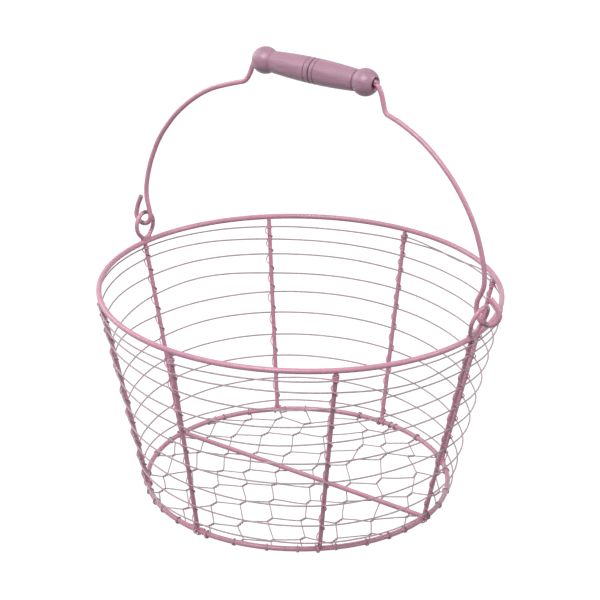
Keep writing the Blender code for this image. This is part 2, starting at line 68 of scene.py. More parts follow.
def aim_camera():
    """Turns the measured angles into the camera's place and axes."""
    flat = cos(CAMERA_ELEVATION)
    ahead = Vector((sin(CAMERA_AZIMUTH) * flat, cos(CAMERA_AZIMUTH) * flat, -sin(CAMERA_ELEVATION)))
    level = Vector((cos(CAMERA_AZIMUTH), -sin(CAMERA_AZIMUTH), 0))
    upright = level.cross(ahead)
    right = cos(CAMERA_ROLL) * level + sin(CAMERA_ROLL) * upright
    up = cos(CAMERA_ROLL) * upright - sin(CAMERA_ROLL) * level
    camera = placed("camera", bpy.data.cameras.new("camera"))
    camera.data.lens = CAMERA_LENS
    camera.data.sensor_width = CAMERA_SENSOR
    camera.data.clip_end = CAMERA_FAR
    eye = Vector((RINGS_AXIS_X, 0, RIM_LEVEL - CAMERA_DROP)) - ahead * CAMERA_DISTANCE
    axes = Matrix((right, up, -ahead)).transposed().to_4x4()
    camera.matrix_world = Matrix.Translation(eye) @ axes
    bpy.context.scene.camera = camera


aim_camera()

# ------------------------------------------------------------
# Rim: 3.8 mm mild steel wire rolled into a ring and butt welded, then painted with the rest.
# It is a little wider from ear to ear, as the bail has pulled it.
RIM_WIRE = 0.0038
RIM_RADIUS = 0.1400
RIM_OVAL_SHARE = 0.008
RIM_HEIGHT = 0.1474
RIM_STEPS = 288
RIM_SIDES = 20
# The paint where it is full, where it is thin and in its specks
PAINT = ("D898B0", "CD8FA8", "B0728B")
PAINT_CHIP = "8A6B78"
# Bare steel where rubbed, darkened to serve as painted shade too where hook and ear touch
BARE_STEEL_AND_CONTACT_SHADE = "6E6669"
PAINT_SHEEN = 0.6
PAINT_ROUGHNESS = (0.28, 0.44)
COAT_SHARE = 0.2
COAT_ROUGHNESS = 0.16
# Where each noise takes effect, from none to full
THIN_NOISE = (0.40, 0.64)
MOTTLE_NOISE = (0.50, 0.72)
GLOSS_NOISE = (0.3, 0.7)
DRIFT_LENGTH = 0.009
MOTTLE_SIZE = 0.0009
MOTTLE_SHARE = 0.45
CHIP_SPACING = 0.0045
CHIP_CORE = 0.000225
CHIP_REACH = 0.0003825
CHIP_SHARE = 0.8
PEEL_SIZE = 0.0007
PEEL_DEPTH = 0.00006
RELIEF_STRENGTH = 0.6
# A rubbed place, dark grey as bare steel and as painted shade: how bare it is, how much of its
# reach is, and how ragged the paint's edge is
RUBBED_SHARE = 0.85
RUBBED_CORE = 0.6
RUBBED_EDGE = 0.35
# The colour sockets of a Mix node
MIX_UNDER, MIX_OVER, MIX_RESULT = 6, 7, 2


def linear(code):
    """An sRGB hex value as a linear colour."""
    parts = [int(code[i : i + 2], 16) / 255 for i in (0, 2, 4)]
    return (*[c / 12.92 if c <= 0.04045 else ((c + 0.055) / 1.055) ** 2.4 for c in parts], 1)


def add(tree, kind, inputs=None, **settings):
    """Adds one node to a tree with its settings, and sets or links its inputs."""
    node = tree.nodes.new(kind)
    for name, value in settings.items():
        setattr(node, name, value)
    for key, value in (inputs or {}).items():
        if isinstance(value, bpy.types.NodeSocket):
            tree.links.new(value, node.inputs[key])
        else:
            node.inputs[key].default_value = value
    return node


def worked_out(tree, operation, *values):
    """What a sum gives for these values."""
    return add(tree, "ShaderNodeMath", dict(enumerate(values)), operation=operation).outputs[0]


def noise(tree, place, size, detail, roughness=0.5):
    """A noise of this size, in metres."""
    inputs = {"Vector": place, "Scale": 1 / size, "Detail": detail, "Roughness": roughness}
    return add(tree, "ShaderNodeTexNoise", inputs).outputs["Fac"]


def ranged(tree, value, low, high, start=0.0, end=1.0):
    """Turns a value that runs from low to high into one that runs from start to end."""
    inputs = {"Value": value, "From Min": low, "From Max": high, "To Min": start, "To Max": end}
    return add(tree, "ShaderNodeMapRange", inputs).outputs["Result"]


def covered(tree, under, over, share):
    """A colour with this share of another one over it."""
    inputs = {"Factor": share, MIX_UNDER: under, MIX_OVER: linear(over)}
    return add(tree, "ShaderNodeMix", inputs, data_type="RGBA").outputs[MIX_RESULT]


def shaded(name):
    """A new material, with its tree and its shader."""
    material = bpy.data.materials.new(name)
    material.use_nodes = True
    return material, material.node_tree, material.node_tree.nodes["Principled BSDF"]


def surfaced(tree, shader, colour, roughness, height, depth):
    """Gives a shader its colour, its roughness and a relief of this depth."""
    bump = {"Height": height, "Distance": depth, "Strength": RELIEF_STRENGTH}
    bump = add(tree, "ShaderNodeBump", bump).outputs["Normal"]
    for name, socket in (("Base Color", colour), ("Roughness", roughness), ("Normal", bump)):
        tree.links.new(socket, shader.inputs[name])


def wire_paint(name, colours, speck=MOTTLE_SIZE, worn=()):
    """Sprayed enamel on steel wire: satin, with thinner lilac patches, fine peel and a few chips.

    It is rubbed through to the steel round each worn (place, reach), in a dark grey that is also
    painted shade where parts touch.
    """
    material, tree, shader = shaded(name)
    full, thin, shade = colours
    place = add(tree, "ShaderNodeTexCoord").outputs["Object"]
    # The coat's thickness drifts along a wire
    drift = ranged(tree, noise(tree, place, DRIFT_LENGTH, 3.0, 0.55), *THIN_NOISE)
    coat = covered(tree, linear(full), thin, drift)
    mottle = noise(tree, place, speck, 2.0, 0.6)
    coat = covered(tree, coat, shade, ranged(tree, mottle, *MOTTLE_NOISE, end=MOTTLE_SHARE))
    # Chips, about half a millimetre across, that show the grey undercoat
    cells = {"Vector": place, "Scale": 1 / CHIP_SPACING, "Randomness": 1.0}
    cells = add(tree, "ShaderNodeTexVoronoi", cells).outputs["Distance"]
    core, reach = CHIP_CORE / CHIP_SPACING, CHIP_REACH / CHIP_SPACING
    chips = ranged(tree, cells, core, reach, CHIP_SHARE, 0.0)
    coat = covered(tree, coat, PAINT_CHIP, chips)
    for middle, reach in worn:
        away = {0: place, 1: tuple(middle)}
        away = add(tree, "ShaderNodeVectorMath", away, operation="DISTANCE").outputs["Value"]
        ragged = worked_out(tree, "MULTIPLY_ADD", drift, reach * RUBBED_EDGE, away)
        rubbed = ranged(tree, ragged, reach * RUBBED_CORE, reach, RUBBED_SHARE, 0.0)
        coat = covered(tree, coat, BARE_STEEL_AND_CONTACT_SHADE, rubbed)
    relief = worked_out(tree, "SUBTRACT", noise(tree, place, PEEL_SIZE, 2.0), chips)
    gloss = ranged(tree, mottle, *GLOSS_NOISE, *PAINT_ROUGHNESS)
    surfaced(tree, shader, coat, gloss, relief, PEEL_DEPTH)
    shader.inputs["Specular IOR Level"].default_value = PAINT_SHEEN
    shader.inputs["Coat Weight"].default_value = COAT_SHARE
    shader.inputs["Coat Roughness"].default_value = COAT_ROUGHNESS
    return material


def wire_drawing_tree():
    """Draws a round wire along every chain of edges: wander, thickness, section and paint."""
    tree = bpy.data.node_groups.new("drawn_wire", "GeometryNodeTree")
    kinds = {
        "Path": "Geometry", "Radius": "Float", "Wander": "Float", "Wave Length": "Float",
        "Seed": "Float", "Sides": "Int", "Paint": "Material",
    }
    for name, kind in kinds.items():
        tree.interface.new_socket(name, in_out="INPUT", socket_type="NodeSocket" + kind)
    tree.interface.new_socket("Wire", in_out="OUTPUT", socket_type="NodeSocketGeometry")
    given = add(tree, "NodeGroupInput").outputs
    place = add(tree, "GeometryNodeInputPosition").outputs[0]
    # The hand's wander: each point moves a little with a noise as long as the waves
    waves = worked_out(tree, "DIVIDE", 1.0, given["Wave Length"])
    shift = {"Vector": place, "W": given["Seed"], "Scale": waves, "Detail": 1.0}
    shift = add(tree, "ShaderNodeTexNoise", shift, noise_dimensions="4D").outputs["Color"]
    shift = {0: shift, 1: (0.5, 0.5, 0.5)}
    shift = add(tree, "ShaderNodeVectorMath", shift, operation="SUBTRACT").outputs[0]
    shift = {0: shift, "Scale": given["Wander"]}
    shift = add(tree, "ShaderNodeVectorMath", shift, operation="SCALE").outputs[0]
    bent = {"Geometry": given["Path"], "Offset": shift}
    bent = add(tree, "GeometryNodeSetPosition", bent).outputs[0]
    curve = add(tree, "GeometryNodeMeshToCurve", {"Mesh": bent}).outputs[0]
    share = {"Name": "thickness"}
    share = add(tree, "GeometryNodeInputNamedAttribute", share, data_type="FLOAT").outputs[0]
    curve = add(tree, "GeometryNodeSetCurveRadius", {"Curve": curve, "Radius": share}).outputs[0]
    section = {"Resolution": given["Sides"], "Radius": given["Radius"]}
    section = add(tree, "GeometryNodeCurvePrimitiveCircle", section).outputs[0]
    swept = {"Curve": curve, "Profile Curve": section, "Fill Caps": True}
    swept = add(tree, "GeometryNodeCurveToMesh", swept).outputs[0]
    smooth = {0: swept, "Shade Smooth": True}
    smooth = add(tree, "GeometryNodeSetShadeSmooth", smooth).outputs[0]
    real = add(tree, "GeometryNodeRealizeInstances", {0: smooth}).outputs[0]
    painted = {"Geometry": real, "Material": given["Paint"]}
    painted = add(tree, "GeometryNodeSetMaterial", painted).outputs[0]
    add(tree, "NodeGroupOutput", {0: painted})
    return tree


def grown(name, mesh, tree, values):
    """Runs a tree over a mesh and returns the result as one plain mesh object."""
    source = placed(name + "_path", mesh)
    modifier = source.modifiers.new("grow", "NODES")
    modifier.node_group = tree
    for item in tree.interface.items_tree:
        if item.in_out == "INPUT" and item.name in values:
            modifier[item.identifier] = values[item.name]
    result = source.evaluated_get(bpy.context.evaluated_depsgraph_get())
    piece = placed(name, bpy.data.meshes.new_from_object(result))
    bpy.data.objects.remove(source)
    return piece


def drawn_wire(name, paths, diameter, paint, sides, closed=False, wander=0.0, wave=1.0, seed=0.0):
    """One mesh of round wire along these paths, whose points may hold a share of thickness last."""
    points, edges, thickness = [], [], []
    for path in paths:
        first = len(points)
        for point in path:
            points.append(tuple(point[:3]))
            thickness.append(point[3] if len(point) > 3 else 1.0)
        last = len(points) - 1
        edges += [(i, i + 1) for i in range(first, last)]
        edges += [(last, first)] if closed else []
    mesh = bpy.data.meshes.new(name + "_path")
    mesh.from_pydata(points, edges, [])
    shares = mesh.attributes.new("thickness", "FLOAT", "POINT")
    shares.data.foreach_set("value", thickness)
    values = {"Radius": diameter / 2, "Wander": wander, "Wave Length": wave, "Seed": seed}
    return grown(name, mesh, wire_tree, {**values, "Sides": sides, "Paint": paint})


def fitted(piece, body, finish, *nodes):
    """The piece rides on its body and stands for the nodes. Its finish is not used."""
    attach(piece, body)
    if nodes:
        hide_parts(*nodes)


def polar(radius, angle, height):
    """A point round the rings' axis."""
    return np.array((RINGS_AXIS_X + radius * cos(angle), radius * sin(angle), height))


def oval(radius, angle, height, drop=0.0):
    """The same for the wires between the oval rim and the round base ring."""
    share = RIM_OVAL_SHARE * (1 - drop / RIM_HEIGHT)
    return polar(radius * (1 + share * cos(2 * angle)), angle, height)


def turns(steps):
    """Even angles, once round."""
    return [2 * pi * i / steps for i in range(steps)]


wire_tree = wire_drawing_tree()
thick_paint = wire_paint("sprayed_enamel_on_steel_wire", PAINT)
rim_path = [oval(RIM_RADIUS, angle, RIM_LEVEL) for angle in turns(RIM_STEPS)]
rim = drawn_wire("rim_wire", [rim_path], RIM_WIRE, thick_paint, RIM_SIDES, closed=True)
fitted(rim, "basket", "wire_paint", "rim_ring")

# ------------------------------------------------------------
# Base ring and cross rod: 3.6 mm wire rolled and butt welded, and a straight 3.4 mm rod welded
# inside it over the netting, from the foot of one ear's upright to the other's.
BASE_WIRE = 0.0036
BASE_RADIUS = 0.1086
BASE_LEVEL = 0.0030
BASE_WANDER = 0.0003
BASE_WAVE = 0.09
BASE_STEPS = 240
BASE_SIDES = 20
CROSS_WIRE = 0.0034
CROSS_LEVEL = 0.00439
CROSS_BOW = 0.0004
CROSS_REACH = BASE_RADIUS - BASE_WIRE / 4
CROSS_STEPS = 40
CROSS_SIDES = 18

base_path = [polar(BASE_RADIUS, angle, BASE_LEVEL) for angle in turns(BASE_STEPS)]
base = drawn_wire(
    "base_wire", [base_path], BASE_WIRE, thick_paint, BASE_SIDES,
    closed=True, wander=BASE_WANDER, wave=BASE_WAVE,
)
fitted(base, "basket", "wire_paint", "base_ring")
cross_path = []
for step in range(CROSS_STEPS + 1):
    share = 2 * step / CROSS_STEPS - 1
    rise = CROSS_BOW * (1 - share**2)
    cross_path.append((RINGS_AXIS_X + share * CROSS_REACH, 0, CROSS_LEVEL + rise))
cross = drawn_wire("cross_rod", [cross_path], CROSS_WIRE, thick_paint, CROSS_SIDES)
fitted(cross, "basket", "wire_paint", "base_cross_rod")

# ------------------------------------------------------------
# Uprights: eight straight wires, a little over 3 mm thick, butt welded under the rim and onto
# the base ring. Each flares a little where the weld was pressed.
UPRIGHT_WIRE = 0.0031
UPRIGHTS = 8
# How far each one's top and foot stand off even spacing from +X, as shares of the spacing
HEAD_STRAY = (0.0, 0.018, 0.035, 0.019, 0.0, -0.035, -0.036, 0.013)
FOOT_STRAY = (0.0, 0.085, 0.0, -0.013, 0.0, -0.030, -0.070, -0.024)
FLARE_SHARE = 0.09
FLARE_LENGTH = 0.0036
UPRIGHT_STEPS = 48
UPRIGHT_SIDES = 16
# How closely the steps crowd at both ends, where the wire flares
END_CROWDING = 0.9
UPRIGHT_SLOPE = (RIM_RADIUS - BASE_RADIUS) / RIM_HEIGHT
LEAN_COSINE = 1 / hypot(1, UPRIGHT_SLOPE)


def upright_angles(number):
    """The angles of an upright's top and of its foot."""
    spacing = 2 * pi / UPRIGHTS
    return (number + HEAD_STRAY[number]) * spacing, (number + FOOT_STRAY[number]) * spacing


def upright_axis(number, drop):
    """The point of an upright's axis this far below the rim's wire."""
    top, foot = upright_angles(number)
    share = drop / RIM_HEIGHT
    head = oval(RIM_RADIUS, top, RIM_LEVEL)
    return (1 - share) * head + share * polar(BASE_RADIUS, foot, BASE_LEVEL)


def upright_path(number):
    """From rim to base ring, with the share of thickness at each point."""
    path = []
    for step in range(UPRIGHT_STEPS + 1):
        share = step / UPRIGHT_STEPS
        share -= END_CROWDING * sin(2 * pi * share) / (2 * pi)
        drop = share * RIM_HEIGHT
        near = min(drop - RIM_WIRE / 2, RIM_HEIGHT - BASE_WIRE / 2 - drop)
        flare = FLARE_SHARE * max(0.0, 1 - max(near, 0) / FLARE_LENGTH) ** 2
        path.append((*upright_axis(number, drop), 1 + flare))
    return path


for number in range(UPRIGHTS):
    name = f"upright_wire_{number + 1}"
    upright = drawn_wire(name, [upright_path(number)], UPRIGHT_WIRE, thick_paint, UPRIGHT_SIDES)
    fitted(upright, "basket", "wire_paint", f"upright_{number + 1}")

# ------------------------------------------------------------
# Hoops: ten 1 mm wires drawn round the outside of the uprights and bound to each one. They were
# pulled tight by hand, so each dips and rises a little from upright to upright.
HOOP_WIRE = 0.0010
HOOP_COAT = 0.00008
# Drops below the rim at even places round it from +X, as shares of its height over the base ring
HOOP_DROP_SHARES = (
    (0.031, 0.039, 0.051, 0.059, 0.064, 0.065, 0.056, 0.044,
     0.036, 0.038, 0.049, 0.059, 0.057, 0.049, 0.048, 0.034),
    (0.087, 0.110, 0.139, 0.149, 0.143, 0.132, 0.120, 0.098,
     0.090, 0.094, 0.103, 0.109, 0.113, 0.104, 0.110, 0.122),
    (0.163, 0.196, 0.228, 0.233, 0.221, 0.207, 0.196, 0.182,
     0.181, 0.178, 0.183, 0.188, 0.203, 0.208, 0.194, 0.160),
    (0.259, 0.285, 0.319, 0.328, 0.315, 0.304, 0.294, 0.271,
     0.280, 0.298, 0.303, 0.306, 0.312, 0.304, 0.286, 0.267),
    (0.370, 0.403, 0.431, 0.425, 0.412, 0.398, 0.391, 0.390,
     0.383, 0.365, 0.369, 0.383, 0.399, 0.405, 0.384, 0.366),
    (0.484, 0.513, 0.542, 0.537, 0.519, 0.506, 0.497, 0.492,
     0.498, 0.507, 0.507, 0.502, 0.505, 0.501, 0.496, 0.483),
    (0.599, 0.625, 0.645, 0.640, 0.628, 0.618, 0.612, 0.610,
     0.613, 0.621, 0.619, 0.614, 0.614, 0.612, 0.607, 0.595),
    (0.729, 0.754, 0.773, 0.764, 0.745, 0.731, 0.722, 0.720,
     0.724, 0.730, 0.728, 0.723, 0.727, 0.735, 0.739, 0.730),
    (0.852, 0.862, 0.873, 0.870, 0.856, 0.844, 0.840, 0.844,
     0.851, 0.857, 0.852, 0.845, 0.844, 0.850, 0.856, 0.853),
    (0.959, 0.958, 0.957, 0.964, 0.961, 0.961, 0.959, 0.966,
     0.954, 0.944, 0.953, 0.952, 0.943, 0.948, 0.959, 0.960),
)
HOOPS = len(HOOP_DROP_SHARES)
HOOP_STEPS = 320
HOOP_SIDES = 10
HOOP_WANDER = 0.0004
HOOP_WAVE = 0.03
HOOP_SEED_STEP = 3.7
# Its paint, which looks greyer than the thick wires' in the photograph
THIN_WIRE_PAINT = ("C0A3AE", "AE9CA4", "8A7A82")


def between(a, b, c, d, t):
    """The place at this share of the way from b to c on a smooth curve."""
    curve = 2 * b + (c - a) * t + (2 * a - 5 * b + 4 * c - d) * t**2
    return (curve + (3 * b - a - 3 * c + d) * t**3) / 2


def hoop_drop(hoop, angle):
    """How far below the rim a hoop is at this angle."""
    shares = HOOP_DROP_SHARES[hoop]
    place = angle / (2 * pi) * len(shares)
    near = [shares[(floor(place) + i) % len(shares)] for i in (-1, 0, 1, 2)]
    return between(*near, place % 1) * RIM_HEIGHT


def hoop_point(hoop, angle):
    """The point of a hoop at this angle, against the outside of the uprights."""
    drop = hoop_drop(hoop, angle)
    upright = RIM_RADIUS - UPRIGHT_SLOPE * drop
    clear = UPRIGHT_WIRE / 2 / LEAN_COSINE + HOOP_WIRE / 2
    return oval(upright + clear, angle, RIM_LEVEL - drop, drop)


thin_paint = wire_paint("sprayed_enamel_on_binding_wire", THIN_WIRE_PAINT)
for hoop in range(HOOPS):
    path = [hoop_point(hoop, angle) for angle in turns(HOOP_STEPS)]
    piece = drawn_wire(
        f"hoop_wire_{hoop + 1:02d}", [path], HOOP_WIRE + HOOP_COAT, thin_paint, HOOP_SIDES,
        closed=True, wander=HOOP_WANDER, wave=HOOP_WAVE, seed=hoop * HOOP_SEED_STEP,
    )
    fitted(piece, "basket", "thin_wire_paint", f"hoop_{hoop + 1:02d}")

# ------------------------------------------------------------
# Binding wires: soft wire under 1 mm wound down each upright, one turn from hoop to hoop, with a
# few tight turns under the rim and a knot round the base ring. It is slack where it wasn't pulled.
BINDING_WIRE = 0.00082
BINDING_STEPS = 18
BINDING_SPACING = 0.0008
BINDING_SIDES = 8
BINDING_CLEAR = 0.00005
# Its paint: the same enamel, drawn lighter where it is full as a painted highlight, and the size of
# its specks
SOFT_WIRE_HIGHLIT_PAINT = ("E4A9BF", "D898B0", "B0728B")
SOFT_SPECK = 0.0006
HEAD_PITCH = 0.00115
HEAD_RISE = 0.0011
# For each upright: tight turns over the first hoop, and the side and reach of the slack loops
HEAD_TURNS = (1, 2, 2, 0, 0, 0, 1, 2)
LOOSE_SIDES = (1, -1, 1, 1, 1, -1, -1, -1)
LOOSE_REACHES = (0.0005, 0.0006, 0.0003, 0.0010, 0.0009, 0.0006, 0.00025, 0.0005)
LOOSE_SPREAD = (0.2, 1.3)
LOOSE_POWER = 1.5
# How far a turn strays round the upright and in pitch, and the half angle of its climb at a hoop
TURN_LAG = 0.05
PITCH_SWAY = 0.03
CLIMB_ANGLE = 0.8
# Random draws for one upright, and the draw of its turn number 0
DRAWS = 40
FIRST_DRAW = 5
# The knot: turns round the base ring and where it is beside the foot, as a share of the way there
KNOT = ((0.0, 1.0), (0.8, 1.1), (1.1, -0.9), (1.9, -1.3), (2.2, 0.5), (2.7, 1.9))
CLOSE_KNOT = ((0.0, 0.6), (0.8, 1.0), (1.1, 0.1), (1.8, 1.5), (2.1, 0.5), (2.6, 1.3))
LONG_KNOT = (*KNOT, (2.86, 4.2), (3.6, 4.7))
KNOTS = (KNOT, KNOT, KNOT, KNOT, KNOT, KNOT, LONG_KNOT, CLOSE_KNOT)
KNOT_SIDES = (1, -1, 1, 1, -1, 1, 1, -1)
KNOT_START = radians(20)
# Each of the knot's first turns lies over the last one by this share of the wire
KNOT_HEAP = 0.35
KNOT_HEAPED_TURNS = 2
# A cut end: how far past the last point, in diameters, and how thick there
CUT_END = ((0.10, 0.98), (0.22, 0.88), (0.33, 0.66), (0.38, 0.40))
UP = np.array((0, 0, 1))
rng = np.random.default_rng(448)
# The same enamel as the thick wires', lighter as a painted highlight on the strands
soft_highlit_paint = wire_paint("sprayed_enamel_on_soft_wire_with_painted_highlight", SOFT_WIRE_HIGHLIT_PAINT, speck=SOFT_SPECK)


def directions(point):
    """Outwards from the rings' axis and along a ring, at this point."""
    out = point - np.array((RINGS_AXIS_X, 0, point[2]))
    out = out / np.linalg.norm(out)
    return out, np.array((-out[1], out[0], 0))


def rounded_end(path, diameter):
    """Adds the points and shares of thickness that round off a wire's cut end."""
    last, before = np.array(path[-1][:3], float), np.array(path[-2][:3], float)
    ahead = (last - before) / np.linalg.norm(last - before)
    return list(path) + [(*(last + ahead * along * diameter), share) for along, share in CUT_END]


def binding_path(number):
    """Down one upright: tight turns at the head, then one turn from hoop to hoop, then the knot."""
    top = upright_angles(number)[0]
    drops = [hoop_drop(hoop, top) for hoop in range(HOOPS)]
    knee = drops[0] - HEAD_RISE
    head = max(RIM_WIRE / 2 + BINDING_WIRE, knee - HEAD_TURNS[number] * HEAD_PITCH)
    first_turn = -1 - HEAD_TURNS[number]
    marks = [first_turn, -1, *range(HOOPS)]
    levels = [head, knee, *drops]
    loose = LOOSE_REACHES[number] * rng.uniform(*LOOSE_SPREAD, size=DRAWS)
    lag = rng.uniform(-TURN_LAG, TURN_LAG, size=DRAWS)
    path = []
    for step in range((HOOPS - 1 - first_turn) * BINDING_STEPS + 1):
        turn = first_turn + step / BINDING_STEPS
        wave = 2 * pi * turn
        drop = float(np.interp(turn + PITCH_SWAY * sin(wave), marks, levels))
        around = wave + 2 * pi * lag[floor(turn + 0.5) + FIRST_DRAW] * (1 - cos(wave)) / 2
        off = abs((around + pi) % (2 * pi) - pi)
        far = UPRIGHT_WIRE / 2 + BINDING_WIRE / 2 + BINDING_CLEAR
        # From half a turn before the first hoop it is loose, and climbs over each hoop
        if turn > -0.5:
            far += HOOP_WIRE * np.exp(-((off / CLIMB_ANGLE) ** 2))
            slack = max(0.0, LOOSE_SIDES[number] * sin(around))
            far += loose[floor(turn) + FIRST_DRAW] * slack**LOOSE_POWER
        axis = upright_axis(number, drop)
        out, side = directions(axis)
        path.append(axis + far / LEAN_COSINE * cos(around) * out + far * sin(around) * side)
    return path + foot_knot(number)


def foot_knot(number):
    """Over the base ring beside the foot, under it, across to the other side and round again."""
    centre = polar(BASE_RADIUS, upright_angles(number)[1], BASE_LEVEL)
    out, side = directions(centre)
    radius = BASE_WIRE / 2 + BINDING_WIRE / 2
    beside = UPRIGHT_WIRE / 2 + BINDING_WIRE / 2
    marks, shifts = zip(*KNOTS[number])
    path = []
    for step in range(round(marks[-1] * BINDING_STEPS) + 1):
        turn = step / BINDING_STEPS
        around = KNOT_START - 2 * pi * turn
        shift = beside * float(np.interp(turn, marks, shifts)) * KNOT_SIDES[number]
        heap = radius + BINDING_WIRE * KNOT_HEAP * min(turn, KNOT_HEAPED_TURNS)
        path.append(centre + heap * (cos(around) * out + sin(around) * UP) + shift * side)
    return path


def eased(path, spacing):
    """The same path at even spacing, along a smooth curve through its points."""
    points = np.array([point[:3] for point in path], float)
    points = np.vstack([2 * points[0] - points[1], points, 2 * points[-1] - points[-2]])
    result = []
    for a, b, c, d in zip(points, points[1:], points[2:], points[3:]):
        count = max(1, ceil(np.linalg.norm(c - b) / spacing))
        result += [between(a, b, c, d, i / count) for i in range(count)]
    return result + [points[-2]]


for number in range(UPRIGHTS):
    path = rounded_end(eased(binding_path(number), BINDING_SPACING), BINDING_WIRE)
    piece = drawn_wire(f"binding_{number + 1}", [path], BINDING_WIRE, soft_highlit_paint, BINDING_SIDES)
    fitted(piece, "basket", "thin_wire_paint", f"binding_wire_{number + 1}")

# ------------------------------------------------------------
# Splice: the first hoop was patched between two back uprights with a second wire, wound on under
# the rim, laid along the hoop and wound on again at the next upright.
SPLICE_FROM, SPLICE_TO = 2, 1
SPLICE_WIRE = 0.0010
SPLICE_SPACING = 0.0011
SPLICE_SPAN = (0.03, 0.97)
SPLICE_STEPS = 60
SPLICE_PITCH = HEAD_PITCH * 0.9
SPLICE_CLEAR = BINDING_WIRE * 1.1
# Its turns round each upright, and the angle from straight outwards at which they start
SPLICE_BEGIN = (1.4, radians(-90))
SPLICE_END = (-0.9, radians(90))
# Its rise over the first hoop along the way
SPLICE_RISE = (
    (0.0, 0.0036), (0.13, 0.0024), (0.22, 0.0011), (0.31, 0.0005), (0.38, -0.0006),
    (0.50, -0.0009), (0.60, 0.0007), (0.72, 0.0024), (0.86, 0.0034), (1.0, 0.0038),
)


def wound(number, level, turns_on, start):
    """Turns round an upright's head at this level, from this angle round it."""
    path = []
    for step in range(round(abs(turns_on) * BINDING_STEPS) + 1):
        turn = step / BINDING_STEPS
        axis = upright_axis(number, level - turn * SPLICE_PITCH)
        out, side = directions(axis)
        around = start + 2 * pi * turn * (1 if turns_on > 0 else -1)
        far = UPRIGHT_WIRE / 2 + SPLICE_CLEAR
        path.append(axis + far * (cos(around) * out + sin(around) * side))
    return path


def splice_path():
    """Off one upright, along the first hoop and onto the other."""
    first, last = upright_angles(SPLICE_FROM)[0], upright_angles(SPLICE_TO)[0]
    shares, rises = zip(*SPLICE_RISE)
    path = []
    for share in np.linspace(*SPLICE_SPAN, SPLICE_STEPS):
        angle = first + (last - first) * share
        path.append(hoop_point(0, angle) + float(np.interp(share, shares, rises)) * UP)
    begin = wound(SPLICE_FROM, hoop_drop(0, first) - rises[0], *SPLICE_BEGIN)
    end = wound(SPLICE_TO, hoop_drop(0, last) - rises[-1], *SPLICE_END)
    return begin[::-1] + path + end


def rounded_ends(path, diameter):
    """The same path the other way round, with both cut ends rounded off."""
    return rounded_end(rounded_end(path, diameter)[::-1], diameter)


splice = rounded_ends(eased(splice_path(), SPLICE_SPACING), SPLICE_WIRE)
splice = drawn_wire("hoop_splice", [splice], SPLICE_WIRE, thin_paint, BINDING_SIDES)
fitted(splice, "basket", "thin_wire_paint")

# ------------------------------------------------------------
# Netting: 31 mm hexagonal netting of 0.9 mm wire, twisted in pairs with one and a half turns.
# It was cut round and its ends wrapped over the base ring, before the whole basket was painted.
NET_WIRE = 0.0009
NET_ACROSS = 0.0289
NET_ALONG = 0.01775
NET_SKEW = 0.00445
NET_TWIST = 0.0082
NET_SHIFT = np.array((-0.0182, -0.0733))
NET_LEVEL = 0.00194
NET_RADIUS = BASE_RADIUS - BASE_WIRE / 2 - NET_WIRE / 2
NET_MARGIN = 0.0006
NET_LEAST_RUN = 0.004
NET_SIDES = 6
NET_WANDER = 0.0016
NET_WAVE = 0.02
NET_SEED = 1.3
# The spacing of points along the straights before the curve is eased, and along it after that
NET_STRAIGHT = 0.0015
NET_SPACING = 0.0011
# How far the pull of a measured twist is felt, and the pull of the even lattice against it
NET_NEAR = 0.030
NET_REST = 0.001
HALF_TURNS = 3
TWIST_STEPS = 18
TWIST_RADIUS = NET_WIRE / 2 * 1.05
MILLIMETRE = 0.001
